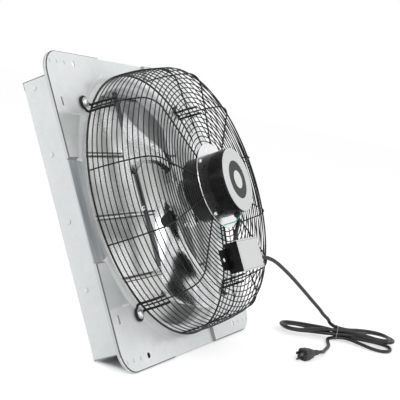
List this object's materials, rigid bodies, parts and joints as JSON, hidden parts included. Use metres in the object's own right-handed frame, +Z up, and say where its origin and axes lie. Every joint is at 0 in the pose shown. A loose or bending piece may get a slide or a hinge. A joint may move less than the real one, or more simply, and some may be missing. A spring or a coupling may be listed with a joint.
{
  "type": "shutter exhaust fan",
  "caption": "Wall-mount exhaust fan with a square drawn panel, a round wire guard, a front-mounted motor, sheet blades and gravity louvers in a channel box.",
  "frame": {"origin": "on the floor under the middle of the standing fan's box, cord left out", "axes": "+X across the fan to its right side seen from the guard, +Y towards the louvers, +Z up; the fan leans back from the vertical by 28 degrees"},
  "size_m": [0.8918, 0.6684, 0.5806],
  "materials": {
    "galvanised_sheet": "galvanised steel sheet, matt spangle",
    "louver_aluminium": "matt aluminium sheet",
    "plain_steel": "plain steel",
    "guard_black": "satin black enamel",
    "screw_zinc": "zinc plated",
    "motor_black": "glossy black enamel",
    "face_light_grey": "light grey sandy enamel",
    "winding_copper": "enamelled copper winding and steel laminations",
    "blade_aluminium": "plain aluminium, fine mill lines",
    "cover_grey": "light grey sandy enamel",
    "capacitor_shell": "dark grey moulded shell",
    "cord_black": "matt black PVC",
    "earth_green": "green PVC",
    "plug_brass": "plain brass"
  },
  "bodies": {
    "housing": {"mounting_panel": "galvanised_sheet", "frame_top": "galvanised_sheet", "frame_right": "galvanised_sheet", "frame_bottom": "galvanised_sheet", "frame_left": "galvanised_sheet", "louver_rod_1": "plain_steel", "louver_rod_2": "plain_steel", "louver_rod_3": "plain_steel", "louver_rod_4": "plain_steel", "wire_guard": "guard_black", "guard_screw_1": "screw_zinc", "guard_screw_2": "screw_zinc", "guard_screw_3": "screw_zinc", "guard_screw_4": "screw_zinc", "motor_plate": "galvanised_sheet", "motor_shell": "motor_black", "motor_bolt_1": "screw_zinc", "motor_bolt_2": "screw_zinc", "motor_bolt_3": "screw_zinc", "motor_bolt_4": "screw_zinc", "motor_face_ring": "face_light_grey", "motor_end_disc": "motor_black", "shaft_cap": "screw_zinc", "stator": "winding_copper", "bearing_rear": "plain_steel", "bearing_front": "plain_steel", "junction_box": "motor_black", "junction_cover": "cover_grey", "junction_bracket": "guard_black", "junction_screw_1": "screw_zinc", "junction_screw_2": "screw_zinc", "run_capacitor": "capacitor_shell", "lead_gland": "cord_black", "motor_lead": "cord_black", "earth_wire": "earth_green", "cord_gland": "cord_black", "power_cord": "cord_black", "cord_hank": "cord_black", "cord_tail": "cord_black", "twist_tie": "plain_steel", "plug_body": "cord_black", "plug_blade_1": "plug_brass", "plug_blade_2": "plug_brass", "plug_ground_pin": "plug_brass"},
    "fan": {"rotor_core": "plain_steel", "motor_shaft": "plain_steel", "fan_hub": "guard_black", "blade_1": "blade_aluminium", "blade_2": "blade_aluminium", "blade_3": "blade_aluminium", "hub_nut": "screw_zinc"},
    "louver_1": {"louver_1": "louver_aluminium"},
    "louver_2": {"louver_2": "louver_aluminium"},
    "louver_3": {"louver_3": "louver_aluminium"},
    "louver_4": {"louver_4": "louver_aluminium"},
    "tie_bar": {"tie_bar": "plain_steel"}
  },
  "joints": [
    {"name": "fan_spin", "type": "hinge", "parent": "housing", "child": "fan", "pos_m": [0, -0.01663, 0.30498], "axis": [0, -0.8825, 0.4703], "continuous": true},
    {"name": "louver_1_hinge", "type": "hinge", "parent": "housing", "child": "louver_1", "pos_m": [0, 0.19553, 0.48834], "axis": [1, 0, 0], "range_deg": [0, 75]},
    {"name": "louver_2_hinge", "type": "hinge", "parent": "housing", "child": "louver_2", "pos_m": [0, 0.13191, 0.36896], "axis": [1, 0, 0], "range_deg": [0, 75]},
    {"name": "louver_3_hinge", "type": "hinge", "parent": "housing", "child": "louver_3", "pos_m": [0, 0.06829, 0.24958], "axis": [1, 0, 0], "range_deg": [0, 75]},
    {"name": "louver_4_hinge", "type": "hinge", "parent": "housing", "child": "louver_4", "pos_m": [0, 0.00467, 0.1302], "axis": [1, 0, 0], "range_deg": [0, 75]},
    {"name": "tie_bar_hinge", "type": "hinge", "parent": "louver_1", "child": "tie_bar", "pos_m": [0.006, 0.1811, 0.50753], "axis": [1, 0, 0], "range_deg": [-75, 0]}
  ],
  "couplings": [
    {"joint": "louver_2_hinge", "follows": "louver_1_hinge", "ratio": 1},
    {"joint": "louver_3_hinge", "follows": "louver_1_hinge", "ratio": 1},
    {"joint": "louver_4_hinge", "follows": "louver_1_hinge", "ratio": 1},
    {"joint": "tie_bar_hinge", "follows": "louver_1_hinge", "ratio": -1}
  ]
}
